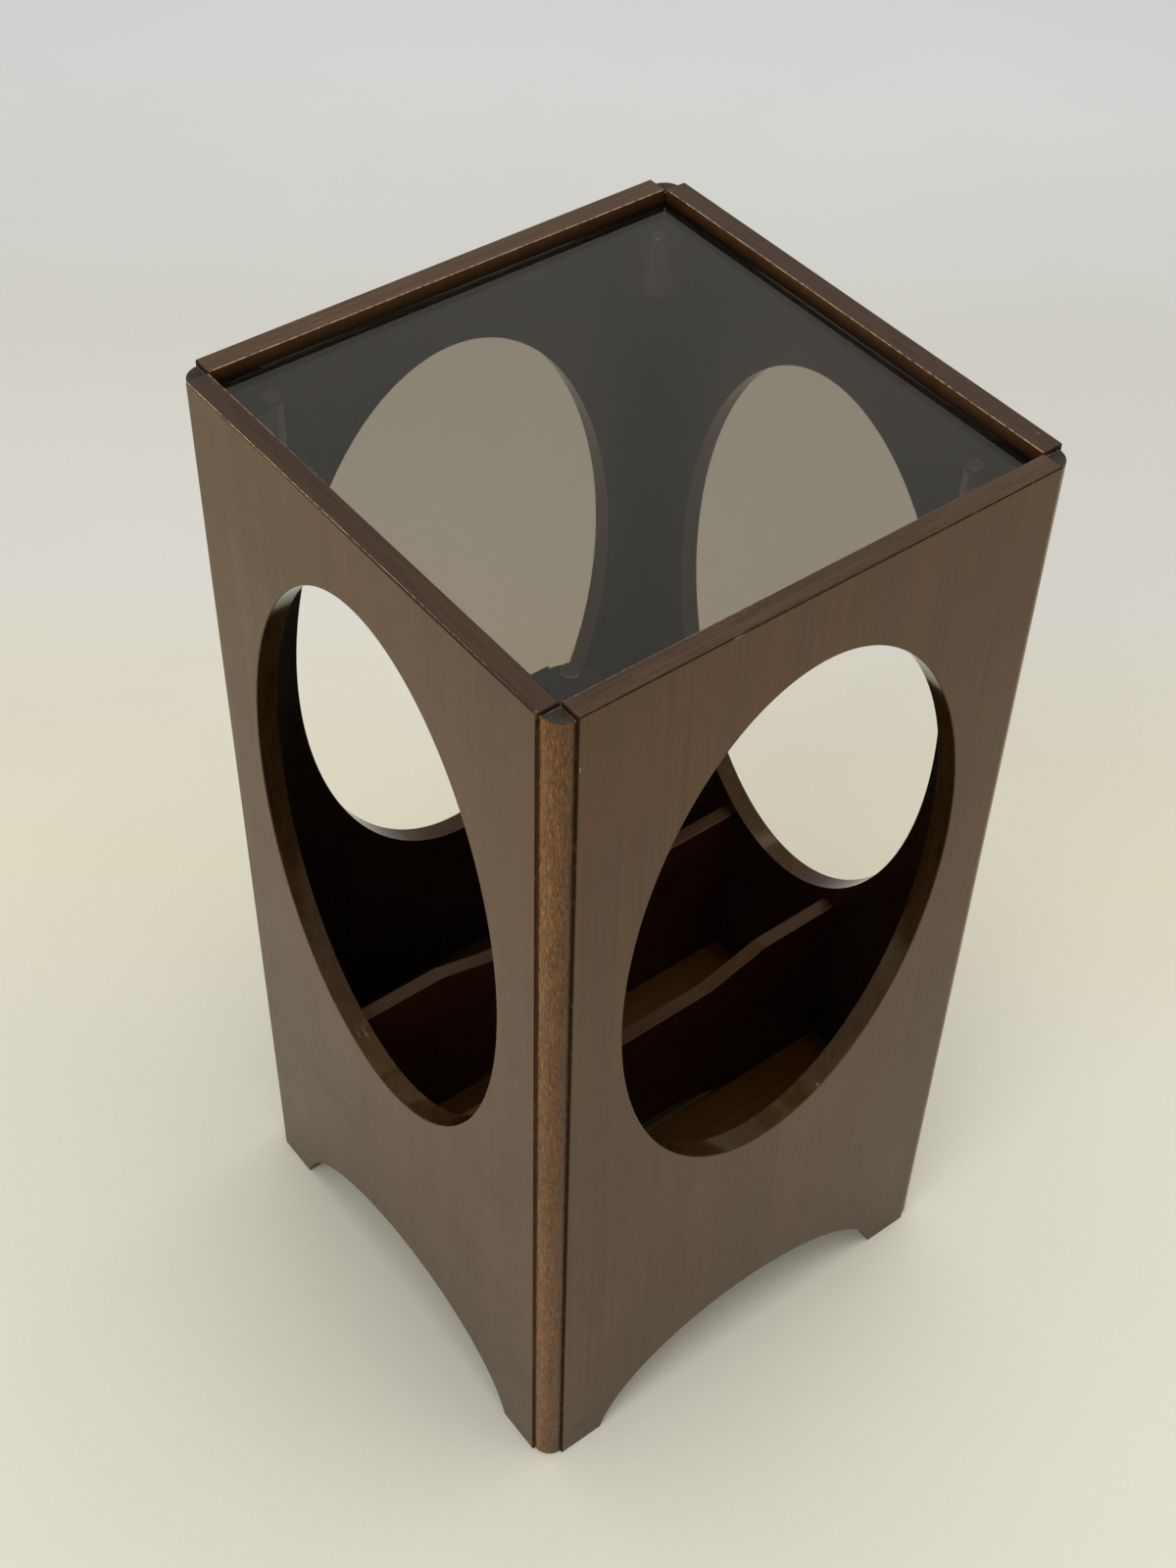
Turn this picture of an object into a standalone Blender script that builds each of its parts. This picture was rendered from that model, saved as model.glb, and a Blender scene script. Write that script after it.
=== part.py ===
"""Record rack side table.

Four panels with oval openings stand in a square and are joined at the corners by quarter-round posts.
Inside are a slotted record floor on screwed cleats, two dividers housed in the side panels, and corner
blocks whose clear bumpers carry a loose pane of smoked glass.
The origin is at the centre of the base, with +Z up and the front panel towards -Y.
"""

import math

import bmesh
import bpy
from mathutils import Matrix, Vector

# Case
TABLE_WIDTH = 0.350
TABLE_HEIGHT = 0.714
PANEL_THICKNESS = 0.0143
PANEL_ARRIS = 0.0008
PANEL_CORNER_RADIUS = 0.0010
POST_RECESS = 0.0021
POST_DROP = 0.0026
POST_ARRIS = 0.0008
SEAT_GAP = 0.0003

# Oval openings, by the wood that is left around them
OVAL_SIDE_MARGIN = 0.0357
OVAL_TOP_MARGIN = 0.0515
OVAL_BOTTOM_HEIGHT = 0.2455

# Arched base of each panel, part of an ellipse whose centre lies below the ground
FOOT_WIDTH = 0.0337
ARCH_RISE = 0.070
ARCH_CENTRE_DROP = 0.014

# Glass top and what it rests on
GLASS_THICKNESS = 0.005
GLASS_RECESS = 0.0079
GLASS_SIDE_GAP = 0.0022
GLASS_CORNER_RADIUS = 0.0015
GLASS_ARRIS = 0.0006
BUMPER_DIAMETER = 0.010
BUMPER_HEIGHT = 0.002
BUMPER_SHOULDER = 0.0011
BUMPER_EDGE_DISTANCE = 0.0053
BLOCK_SIDE = 0.0345
BLOCK_HEIGHT = 0.0385
BLOCK_QUIRK = 0.002
BLOCK_NOSE_RADIUS = 0.0143
BLOCK_ARRIS = 0.0006

# Record floor and its cleats
FLOOR_HEIGHT = 0.112
FLOOR_THICKNESS = 0.012
CLEAT_SIDE = 0.018
CLEAT_CORNER_GAP = 0.012
CLEAT_CHAMFER = 0.001
SCREW_DIAMETER = 0.004
SCREW_HEAD_DIAMETER = 0.008
SCREW_HEAD_RIM = 0.0004
SCREW_POINT = 0.003
SCREW_BITE = 0.007
SCREW_END_DISTANCE = 0.040

# Dividers
DIVIDER_COUNT = 2
DIVIDER_THICKNESS = 0.0105
DIVIDER_HEIGHT = 0.140
DIVIDER_SHOULDER = 0.0635
DIVIDER_SLOPE_RUN = 0.046
DIVIDER_DIP = 0.013
DIVIDER_SHOULDER_RADIUS = 0.008
DIVIDER_DIP_RADIUS = 0.060
DIVIDER_ARCH_HALF = 0.072
DIVIDER_ARCH_RUN = 0.040
DIVIDER_ARCH_RISE = 0.016
DIVIDER_ARRIS = 0.0007
HOUSING_DEPTH = 0.005
SLOT_SETBACK = 0.0018

# Fineness of round shapes
OVAL_STEPS = 72
ARCH_STEPS = 28
ARC_STEP = math.radians(7.5)
ARRIS_STEPS = 1
TURNED_STEPS = 20
SCREW_STEPS = 12

CUT_OVERRUN = 0.004
WELD_DISTANCE = 0.00001
SMOOTH_ANGLE = math.radians(35)
QUARTER_TURN = math.pi / 2

# Sizes that follow from the ones above
inner_half = TABLE_WIDTH / 2 - PANEL_THICKNESS
panel_half = inner_half - SEAT_GAP
glass_bottom = TABLE_HEIGHT - GLASS_RECESS - GLASS_THICKNESS
bumper_bottom = glass_bottom - SEAT_GAP - BUMPER_HEIGHT
block_top = bumper_bottom - SEAT_GAP
floor_bottom = FLOOR_HEIGHT - FLOOR_THICKNESS
cleat_bottom = floor_bottom - SEAT_GAP - CLEAT_SIDE
cleat_length = 2 * (inner_half - SEAT_GAP - CLEAT_SIDE - CLEAT_CORNER_GAP)
bay_width = (2 * inner_half - DIVIDER_COUNT * DIVIDER_THICKNESS) / (DIVIDER_COUNT + 1)

SIDES = ("front", "right", "back", "left")
CORNERS = ("front_left", "front_right", "back_right", "back_left")

MATERIALS = {
    "panel_veneer": {"colour": (0.085, 0.052, 0.032, 1), "roughness": 0.38},
    "post_wood": {"colour": (0.150, 0.078, 0.036, 1), "roughness": 0.42},
    "block_wood": {"colour": (0.060, 0.032, 0.020, 1), "roughness": 0.55},
    "divider_wood": {"colour": (0.055, 0.030, 0.019, 1), "roughness": 0.50},
    "floor_wood": {"colour": (0.110, 0.052, 0.018, 1), "roughness": 0.50},
    "cleat_wood": {"colour": (0.330, 0.210, 0.110, 1), "roughness": 0.70},
    "smoked_glass": {"colour": (0.180, 0.170, 0.160, 1), "roughness": 0.03, "transmission": 1.0},
    "clear_bumper": {"colour": (0.800, 0.800, 0.780, 1), "roughness": 0.20, "transmission": 0.9},
    "screw_steel": {"colour": (0.450, 0.430, 0.400, 1), "roughness": 0.35, "metallic": 1.0},
}


def clear_scene():
    for obj in list(bpy.data.objects):
        bpy.data.objects.remove(obj, do_unlink=True)


def new_collection(name):
    collection = bpy.data.collections.new(name)
    bpy.context.scene.collection.children.link(collection)
    return collection


def new_material(name, colour, roughness, metallic=0.0, transmission=0.0):
    material = bpy.data.materials.new(name)
    material.use_nodes = True
    shader = material.node_tree.nodes["Principled BSDF"]
    shader.inputs["Base Color"].default_value = colour
    shader.inputs["Roughness"].default_value = roughness
    shader.inputs["Metallic"].default_value = metallic
    shader.inputs["Transmission Weight"].default_value = transmission
    material.diffuse_color = colour
    return material


def place(obj, material, location, turn=Matrix.Identity(4)):
    """Puts a part at a location, then turns both about the table's upright axis."""
    obj.data.materials.append(bpy.data.materials[material])
    parts.objects.link(obj)
    obj.parent = table
    obj.matrix_world = turn @ Matrix.Translation(location) @ obj.matrix_world
    return obj


def quarter_turn(index):
    return Matrix.Rotation(index * QUARTER_TURN, 4, "Z")


def ellipse(centre, half_width, half_height, start, end, steps):
    """Points on an ellipse from one angle to another, both ends included."""
    angles = [start + (end - start) * step / steps for step in range(steps + 1)]
    return [
        (half_width * math.cos(angle), centre + half_height * math.sin(angle))
        for angle in angles
    ]


def rounded_corner(before, corner, after, radius):
    """Points of the arc that turns the corner between its two neighbours."""
    back = (before - corner).normalized()
    onward = (after - corner).normalized()
    half_angle = back.angle(onward) / 2
    sweep = math.pi - 2 * half_angle
    centre = corner + (back + onward).normalized() * radius / math.sin(half_angle)
    spoke = corner + back * radius / math.tan(half_angle) - centre
    steps = math.ceil(sweep / ARC_STEP)
    turn = math.copysign(sweep / steps, back.cross(onward) * -1)
    return [centre + Matrix.Rotation(turn * step, 2) @ spoke for step in range(steps + 1)]


def rounded_outline(corners):
    """Outline through corners given as (x, y, radius)."""
    outline = []
    for index, (x, y, radius) in enumerate(corners):
        before = Vector(corners[index - 1][:2])
        after = Vector(corners[(index + 1) % len(corners)][:2])
        corner = Vector((x, y))
        outline += rounded_corner(before, corner, after, radius) if radius else [corner]
    return outline


def mesh_from(obj):
    """Replaces a curve object with a welded mesh object of the same name and place."""
    bpy.context.scene.collection.objects.link(obj)
    graph = bpy.context.evaluated_depsgraph_get()
    mesh = bpy.data.meshes.new_from_object(obj.evaluated_get(graph))
    welded = bmesh.new()
    welded.from_mesh(mesh)
    bmesh.ops.remove_doubles(welded, verts=welded.verts, dist=WELD_DISTANCE)
    bmesh.ops.recalc_face_normals(welded, faces=welded.faces)
    welded.to_mesh(mesh)
    welded.free()
    mesh.shade_smooth()
    mesh.set_sharp_from_angle(angle=SMOOTH_ANGLE)
    name = obj.name
    world = obj.matrix_world.copy()
    bpy.data.objects.remove(obj, do_unlink=True)
    solid = bpy.data.objects.new(name, mesh)
    solid.matrix_world = world
    return solid


def plate(name, outlines, thickness, arris):
    """Flat piece in its own XY plane, centred on its thickness, with rounded arrises."""
    curve = bpy.data.curves.new(name + "_outline", "CURVE")
    curve.dimensions = "2D"
    curve.fill_mode = "BOTH"
    curve.extrude = thickness / 2 - arris
    curve.bevel_depth = arris
    curve.bevel_resolution = ARRIS_STEPS
    curve.offset = -arris
    for outline in outlines:
        spline = curve.splines.new("POLY")
        spline.points.add(len(outline) - 1)
        for point, (x, y) in zip(spline.points, outline):
            point.co = (x, y, 0, 1)
        spline.use_cyclic_u = True
    return mesh_from(bpy.data.objects.new(name, curve))


def upright_plate(name, outlines, thickness, arris):
    """Plate that stands on its outline's X axis, with its front towards -Y."""
    obj = plate(name, outlines, thickness, arris)
    obj.matrix_world = Matrix.Rotation(QUARTER_TURN, 4, "X")
    return obj


def box(name, size):
    """Box centred on its origin."""
    mesh = bpy.data.meshes.new(name)
    cube = bmesh.new()
    bmesh.ops.create_cube(cube, size=1, matrix=Matrix.Diagonal((*size, 1)))
    cube.to_mesh(mesh)
    cube.free()
    return bpy.data.objects.new(name, mesh)


def turned(name, profile, steps):
    """Round piece about Z from a half section of (radius, height), run from top to bottom."""
    mesh = bpy.data.meshes.new(name)
    edges = [(index, index + 1) for index in range(len(profile) - 1)]
    mesh.from_pydata([(radius, 0, height) for radius, height in profile], edges, [])
    obj = bpy.data.objects.new(name, mesh)
    screw = obj.modifiers.new("turn", "SCREW")
    screw.steps = screw.render_steps = steps
    screw.use_merge_vertices = True
    screw.merge_threshold = WELD_DISTANCE
    screw.use_smooth_shade = True
    return obj


def cut(obj, cutter):
    boolean = obj.modifiers.new(cutter.name, "BOOLEAN")
    boolean.operation = "DIFFERENCE"
    boolean.solver = "EXACT"
    boolean.object = cutter


def make_cutter(obj, location, turn=Matrix.Identity(4)):
    cutters.objects.link(obj)
    obj.matrix_world = turn @ Matrix.Translation(location)
    obj.hide_render = True
    obj.display_type = "WIRE"
    return obj


def panel_outlines():
    """Board with an arched foot, and the oval cut through it."""
    arch_half = panel_half - FOOT_WIDTH
    arch_semi_height = ARCH_RISE + ARCH_CENTRE_DROP
    spring = math.asin(ARCH_CENTRE_DROP / arch_semi_height)
    arch = ellipse(
        -ARCH_CENTRE_DROP,
        arch_half / math.cos(spring),
        arch_semi_height,
        math.pi - spring,
        spring,
        ARCH_STEPS,
    )
    foot = [(-panel_half, 0), *arch, (panel_half, 0)]
    top = [(panel_half, TABLE_HEIGHT), (-panel_half, TABLE_HEIGHT)]
    board = rounded_outline(
        [(x, y, 0) for x, y in foot] + [(x, y, PANEL_CORNER_RADIUS) for x, y in top]
    )
    oval_top = TABLE_HEIGHT - OVAL_TOP_MARGIN
    oval = ellipse(
        (OVAL_BOTTOM_HEIGHT + oval_top) / 2,
        panel_half - OVAL_SIDE_MARGIN,
        (oval_top - OVAL_BOTTOM_HEIGHT) / 2,
        0,
        2 * math.pi,
        OVAL_STEPS,
    )
    return board, oval[:-1]


def make_panels():
    outlines = panel_outlines()
    centre = Vector((0, PANEL_THICKNESS / 2 - TABLE_WIDTH / 2, 0))
    for index, side in enumerate(SIDES):
        panel = upright_plate(side + "_panel", outlines, PANEL_THICKNESS, PANEL_ARRIS)
        place(panel, "panel_veneer", centre, quarter_turn(index))


def make_posts():
    radius = PANEL_THICKNESS - POST_RECESS
    steps = math.ceil(QUARTER_TURN / ARC_STEP)
    outline = [(0, 0), *ellipse(0, radius, radius, math.pi, math.pi + QUARTER_TURN, steps)]
    corner = -panel_half - SEAT_GAP
    height = TABLE_HEIGHT - POST_DROP
    location = Vector((corner, corner, height / 2))
    for index, name in enumerate(CORNERS):
        post = plate(name + "_post", [outline], height, POST_ARRIS)
        place(post, "post_wood", location, quarter_turn(index))


def make_blocks():
    """Corner blocks under the glass, each with its bumper, cut from a quarter-round moulding with quirks."""
    shoulder = BLOCK_SIDE - BLOCK_QUIRK - BLOCK_NOSE_RADIUS
    steps = math.ceil(QUARTER_TURN / ARC_STEP)
    nose = ellipse(shoulder, BLOCK_NOSE_RADIUS, BLOCK_NOSE_RADIUS, 0, QUARTER_TURN, steps)
    outline = [(0, 0), (BLOCK_SIDE, 0), (BLOCK_SIDE, shoulder)]
    outline += [(shoulder + x, y) for x, y in nose]
    outline += [(shoulder, BLOCK_SIDE), (0, BLOCK_SIDE)]
    corner = SEAT_GAP - inner_half
    bumper_radius = BUMPER_DIAMETER / 2
    bumper_centre = corner + BLOCK_SIDE - BUMPER_EDGE_DISTANCE - bumper_radius
    crown = BUMPER_HEIGHT - BUMPER_SHOULDER
    brow = ellipse(BUMPER_SHOULDER, crown, crown, QUARTER_TURN, 0, 4)
    dome = [(bumper_radius - crown + radius, height) for radius, height in brow]
    bumper_profile = [(0, BUMPER_HEIGHT), *dome, (bumper_radius, 0), (0, 0)]
    for index, name in enumerate(CORNERS):
        block = plate(name + "_block", [outline], BLOCK_HEIGHT, BLOCK_ARRIS)
        block_location = Vector((corner, corner, block_top - BLOCK_HEIGHT / 2))
        place(block, "block_wood", block_location, quarter_turn(index))
        bumper = turned(name + "_bumper", bumper_profile, TURNED_STEPS)
        bumper_location = Vector((bumper_centre, bumper_centre, bumper_bottom))
        place(bumper, "clear_bumper", bumper_location, quarter_turn(index))


def make_glass():
    half = inner_half - GLASS_SIDE_GAP
    signs = ((-1, -1), (1, -1), (1, 1), (-1, 1))
    outline = rounded_outline([(half * x, half * y, GLASS_CORNER_RADIUS) for x, y in signs])
    glass = plate("glass_top", [outline], GLASS_THICKNESS, GLASS_ARRIS)
    place(glass, "smoked_glass", Vector((0, 0, glass_bottom + GLASS_THICKNESS / 2)))


def make_dividers():
    """Boards across the table with dipped tops and arched feet, their ends housed in the side panels."""
    half = inner_half + HOUSING_DEPTH - SEAT_GAP
    shoulder = inner_half - DIVIDER_SHOULDER
    dip = shoulder - DIVIDER_SLOPE_RUN
    low = DIVIDER_HEIGHT - DIVIDER_DIP
    arch_top = DIVIDER_ARCH_HALF - DIVIDER_ARCH_RUN
    outline = rounded_outline(
        [
            (-half, 0, 0),
            (-DIVIDER_ARCH_HALF, 0, 0),
            (-arch_top, DIVIDER_ARCH_RISE, DIVIDER_DIP_RADIUS),
            (arch_top, DIVIDER_ARCH_RISE, DIVIDER_DIP_RADIUS),
            (DIVIDER_ARCH_HALF, 0, 0),
            (half, 0, 0),
            (half, DIVIDER_HEIGHT, 0),
            (shoulder, DIVIDER_HEIGHT, DIVIDER_SHOULDER_RADIUS),
            (dip, low, DIVIDER_DIP_RADIUS),
            (-dip, low, DIVIDER_DIP_RADIUS),
            (-shoulder, DIVIDER_HEIGHT, DIVIDER_SHOULDER_RADIUS),
            (-half, DIVIDER_HEIGHT, 0),
        ]
    )
    housing_size = (
        HOUSING_DEPTH + CUT_OVERRUN,
        DIVIDER_THICKNESS + 2 * SEAT_GAP,
        DIVIDER_HEIGHT + 2 * SEAT_GAP,
    )
    housing_x = inner_half + (HOUSING_DEPTH - CUT_OVERRUN) / 2
    housing_z = FLOOR_HEIGHT + housing_size[2] / 2
    slot_size = (
        2 * DIVIDER_ARCH_HALF,
        DIVIDER_THICKNESS - 2 * SLOT_SETBACK,
        FLOOR_THICKNESS + 2 * CUT_OVERRUN,
    )
    pitch = bay_width + DIVIDER_THICKNESS
    names = ("front_divider", "back_divider")
    for index, name in enumerate(names):
        y = (index - (DIVIDER_COUNT - 1) / 2) * pitch
        divider = upright_plate(name, [outline], DIVIDER_THICKNESS, DIVIDER_ARRIS)
        place(divider, "divider_wood", Vector((0, y, FLOOR_HEIGHT + SEAT_GAP)))
        for side, direction in (("left", -1), ("right", 1)):
            housing = box(f"{name}_{side}_housing", housing_size)
            make_cutter(housing, Vector((direction * housing_x, y, housing_z)))
            cut(bpy.data.objects[side + "_panel"], housing)
        slot = box(name + "_slot", slot_size)
        make_cutter(slot, Vector((0, y, floor_bottom + FLOOR_THICKNESS / 2)))
        cut(bpy.data.objects["record_floor"], slot)


def screw_profile(gap, below):
    """Half section of a countersunk screw, point up, grown by a gap and run on below its head."""
    shank = SCREW_DIAMETER / 2 + gap
    head = SCREW_HEAD_DIAMETER / 2 + gap
    length = CLEAT_SIDE + SEAT_GAP + SCREW_BITE + gap
    neck = SCREW_HEAD_RIM + head - shank
    return [
        (0, length),
        (shank, length - SCREW_POINT),
        (shank, neck),
        (head, SCREW_HEAD_RIM),
        (head, -below),
        (0, -below),
    ]


def make_floor():
    """Record floor on four cleats, held by screws driven up through them."""
    width = 2 * (inner_half - SEAT_GAP)
    floor = box("record_floor", (width, width, FLOOR_THICKNESS))
    place(floor, "floor_wood", Vector((0, 0, floor_bottom + FLOOR_THICKNESS / 2)))
    cleat_y = SEAT_GAP + CLEAT_SIDE / 2 - inner_half
    screw_x = cleat_length / 2 - SCREW_END_DISTANCE
    for index, side in enumerate(SIDES):
        turn = quarter_turn(index)
        cleat = box(side + "_cleat", (cleat_length, CLEAT_SIDE, CLEAT_SIDE))
        chamfer = cleat.modifiers.new("chamfer", "BEVEL")
        chamfer.width = CLEAT_CHAMFER
        chamfer.segments = 1
        place(cleat, "cleat_wood", Vector((0, cleat_y, cleat_bottom + CLEAT_SIDE / 2)), turn)
        for number, x in enumerate((-screw_x, screw_x), start=1):
            name = f"{side}_cleat_screw_{number}"
            location = Vector((x, cleat_y, cleat_bottom))
            screw = turned(name, screw_profile(0, 0), SCREW_STEPS)
            place(screw, "screw_steel", location, turn)
            hole = turned(name + "_hole", screw_profile(SEAT_GAP, CUT_OVERRUN), SCREW_STEPS)
            make_cutter(hole, location, turn)
            cut(cleat, hole)
            cut(floor, hole)


clear_scene()
parts = new_collection("record_rack_side_table")
cutters = new_collection("cutters")
table = bpy.data.objects.new("table", None)
parts.objects.link(table)
for material_name, values in MATERIALS.items():
    new_material(material_name, **values)
make_panels()
make_posts()
make_blocks()
make_glass()
make_floor()
make_dividers()
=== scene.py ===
"""Looks of the record rack side table.

Finer wood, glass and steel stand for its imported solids, in a plain studio.
"""

import math

import bmesh
import bpy
from mathutils import Matrix, Vector
from mathutils.kdtree import KDTree


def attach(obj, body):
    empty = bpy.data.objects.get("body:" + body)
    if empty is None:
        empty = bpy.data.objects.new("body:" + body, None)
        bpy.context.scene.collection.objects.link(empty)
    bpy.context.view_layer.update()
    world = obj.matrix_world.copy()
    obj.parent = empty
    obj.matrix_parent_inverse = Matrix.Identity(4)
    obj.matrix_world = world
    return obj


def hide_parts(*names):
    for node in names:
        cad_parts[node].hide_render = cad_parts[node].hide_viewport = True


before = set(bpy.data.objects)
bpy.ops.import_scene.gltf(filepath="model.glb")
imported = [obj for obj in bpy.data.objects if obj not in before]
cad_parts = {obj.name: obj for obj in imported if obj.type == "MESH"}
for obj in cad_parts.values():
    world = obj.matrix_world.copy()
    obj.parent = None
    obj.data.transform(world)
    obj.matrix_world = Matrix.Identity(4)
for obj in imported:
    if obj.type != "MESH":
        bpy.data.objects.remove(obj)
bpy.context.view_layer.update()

# Sizes of the pieces, in metres
TABLE_WIDTH = 0.350
TABLE_HEIGHT = 0.714
PANEL_THICKNESS = 0.0143
PANEL_ARRIS = 0.0008
PANEL_CORNER_RADIUS = 0.0010
POST_RECESS = 0.0021
POST_DROP = 0.0026
POST_ARRIS = 0.0008
SEAT_GAP = 0.0003
OVAL_SIDE_MARGIN = 0.0357
OVAL_TOP_MARGIN = 0.0515
OVAL_BOTTOM_HEIGHT = 0.2455
FOOT_WIDTH = 0.0337
ARCH_RISE = 0.070
ARCH_CENTRE_DROP = 0.014
GLASS_THICKNESS = 0.005
GLASS_RECESS = 0.0079
GLASS_SIDE_GAP = 0.0022
GLASS_CORNER_RADIUS = 0.0015
GLASS_ARRIS = 0.0006
BUMPER_DIAMETER = 0.010
BUMPER_HEIGHT = 0.002
BUMPER_SHOULDER = 0.0011
BUMPER_EDGE_DISTANCE = 0.0053
BLOCK_SIDE = 0.0345
BLOCK_HEIGHT = 0.0385
BLOCK_QUIRK = 0.002
BLOCK_NOSE_RADIUS = 0.0143
BLOCK_ARRIS = 0.0006
FLOOR_HEIGHT = 0.112
FLOOR_THICKNESS = 0.012
FLOOR_ARRIS = 0.0005
FLOOR_SLOT_WIDTH = 0.0057
CLEAT_SIDE = 0.018
CLEAT_CORNER_GAP = 0.012
SCREW_DIAMETER = 0.004
SCREW_HEAD_DIAMETER = 0.008
SCREW_HEAD_RIM = 0.0004
SCREW_POINT = 0.003
SCREW_BITE = 0.007
SCREW_END_DISTANCE = 0.040
RECESS_LENGTH = 0.0048
RECESS_WIDTH = 0.00128
RECESS_DEPTH = 0.0016
DIVIDER_COUNT = 2
DIVIDER_THICKNESS = 0.0105
DIVIDER_HEIGHT = 0.140
DIVIDER_SHOULDER = 0.0635
DIVIDER_SLOPE_RUN = 0.046
DIVIDER_DIP = 0.013
DIVIDER_SHOULDER_RADIUS = 0.008
DIVIDER_DIP_RADIUS = 0.060
DIVIDER_ARCH_HALF = 0.072
DIVIDER_ARCH_RUN = 0.040
DIVIDER_ARCH_RISE = 0.016
DIVIDER_ARRIS = 0.0007
HOUSING_DEPTH = 0.005

inner_half = TABLE_WIDTH / 2 - PANEL_THICKNESS
panel_half = inner_half - SEAT_GAP
oval_half_width = panel_half - OVAL_SIDE_MARGIN
oval_half_height = (TABLE_HEIGHT - OVAL_TOP_MARGIN - OVAL_BOTTOM_HEIGHT) / 2
oval_centre = OVAL_BOTTOM_HEIGHT + oval_half_height
glass_bottom = TABLE_HEIGHT - GLASS_RECESS - GLASS_THICKNESS
pane_level = glass_bottom + GLASS_THICKNESS / 2
bumper_bottom = glass_bottom - SEAT_GAP - BUMPER_HEIGHT
block_top = bumper_bottom - SEAT_GAP
cleat_bottom = FLOOR_HEIGHT - FLOOR_THICKNESS - SEAT_GAP - CLEAT_SIDE
cleat_length = 2 * (inner_half - SEAT_GAP - CLEAT_SIDE - CLEAT_CORNER_GAP)
bay_width = (2 * inner_half - DIVIDER_COUNT * DIVIDER_THICKNESS) / (DIVIDER_COUNT + 1)
divider_y = (bay_width + DIVIDER_THICKNESS) / 2

SIDES = ("front", "right", "back", "left")
CORNERS = ("front_left", "front_right", "back_right", "back_left")

# How far the screws' recesses are turned from side to side and from screw to screw, in radians
SIDE_SPIN = 0.7
SCREW_SPIN = 1.9

# How the posts' sides seat against the boards, how far a face turns towards them to count as a seat, and
# the reach of the painted shade along the grooves beside them
POST_SEAT = 0.00025
POST_APEX = 0.002
SEAT_FACING = 0.2
POST_SHADE_REACH = 0.0022
SEAT_SHADE_REACH = POST_SHADE_REACH / 3

# What is left of a panel's inner arrises where they are sharpened
INNER_SHARE = 0.2

# How near the oval's edge counts as the rim, in squared half sizes
RIM_REACH = 1.1

# Fineness of the round shapes
OVAL_STEPS = 160
ARCH_STEPS = 64
BUMPER_STEPS = 8
ARC_STEP = math.radians(4)
ARRIS_STEPS = 3
ARRIS_RINGS = ARRIS_STEPS + 1
MIDDLE_RING = ARRIS_RINGS // 2
TURNED_STEPS = 40
WELD_DISTANCE = 0.00001
CUT_OVERRUN = 0.002
SMOOTH_ANGLE = math.radians(40)
FLAT = 0.98
QUARTER_TURN = math.pi / 2

# The photograph's camera
CAMERA_AZIMUTH = math.radians(-38.56)
CAMERA_ELEVATION = math.radians(46.08)
CAMERA_ROLL = math.radians(1.63)
CAMERA_PLACE = Vector((-0.62217, -0.76203, 1.44603))
CAMERA_LENS = 51.53
CAMERA_SENSOR = 36.0

# Studio light: lamps as (place, size, power), and the even light around them
LAMPS = {
    "overhead": ((0.5, -0.2, 4.0), 3.0, 54.0),
    "left_key": ((-2.8, -0.9, 2.2), 2.0, 31.0),
}
LAMP_TINT = (1.0, 0.985, 0.955)
SURROUND_TINT = (1.0, 0.985, 0.95, 1)
SURROUND_STRENGTH = 0.55
GROUND_HALF = 12

# Ground from near the camera to far behind the table: its span, in metres beyond the table's middle, and
# the colours along it, painted with a yellow pool of light just behind the table and a darker band of
# shade further back
GROUND_SPAN = (-0.3, 1.7)
GROUND_PAINTED_LIGHT_STOPS = [
    (0.00, (0.840, 0.825, 0.735)),
    (0.20, (0.820, 0.805, 0.690)),
    (0.30, (0.835, 0.815, 0.640)),
    (0.38, (0.815, 0.785, 0.640)),
    (0.48, (0.795, 0.780, 0.730)),
    (0.70, (0.738, 0.736, 0.688)),
    (1.00, (0.800, 0.815, 0.830)),
]

# Tints of clear and of amber lacquer's gloss
LACQUER = (1.0, 0.94, 0.86, 1)
AMBER = (1.0, 0.84, 0.64, 1)

# Patterns of stained wood: strands in each cell of its figure, cells per metre of what lies over it, and
# the band of each pattern's values that shows
STRANDS_ACROSS = 8
STRANDS_ALONG = 5
PORE_CELLS = (1500, 45, 1500)
PORE_BAND = (0.60, 0.72)
CLOUD_CELLS = (6, 6, 6)
CLOUD_BAND = (0.3, 0.7)
CLOUD_SHADES = (0.90, 1.10)
FLECK_CELLS = (1700, 420, 1700)
FLECK_BAND = (0.36, 0.64)
HANDLING_CELLS = (20, 20, 20)
HANDLING_BAND = (0.35, 0.70)
PATCH_CELLS = (140, 140, 140)
PATCH_BAND = (0.30, 0.56)
FRAY_CELLS = (300, 300, 300)
FRAY_BAND = (0.38, 0.54)

# How far up the panels their painted shade towards the foot reaches, and how far out from the walls and
# how deep the record floor's painted shade along them is
FOOT_SHADE_REACH = 0.45
WALL_REACH = 0.020
WALL_SHADE_DEPTH = 0.2

# How much duller than the polish the pores are, and the places of wear, grime, painted highlight and
# painted shade, and the relief of the grain
PORE_DULLNESS = 0.08
MARK_DULLNESS = 0.30
STRAND_RELIEF = 0.5
PORE_RELIEF = -0.8
GRAIN_DEPTH = 0.0004

# Share of a mark's half size that carries its full strength
MARK_CORE = 0.4


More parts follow.
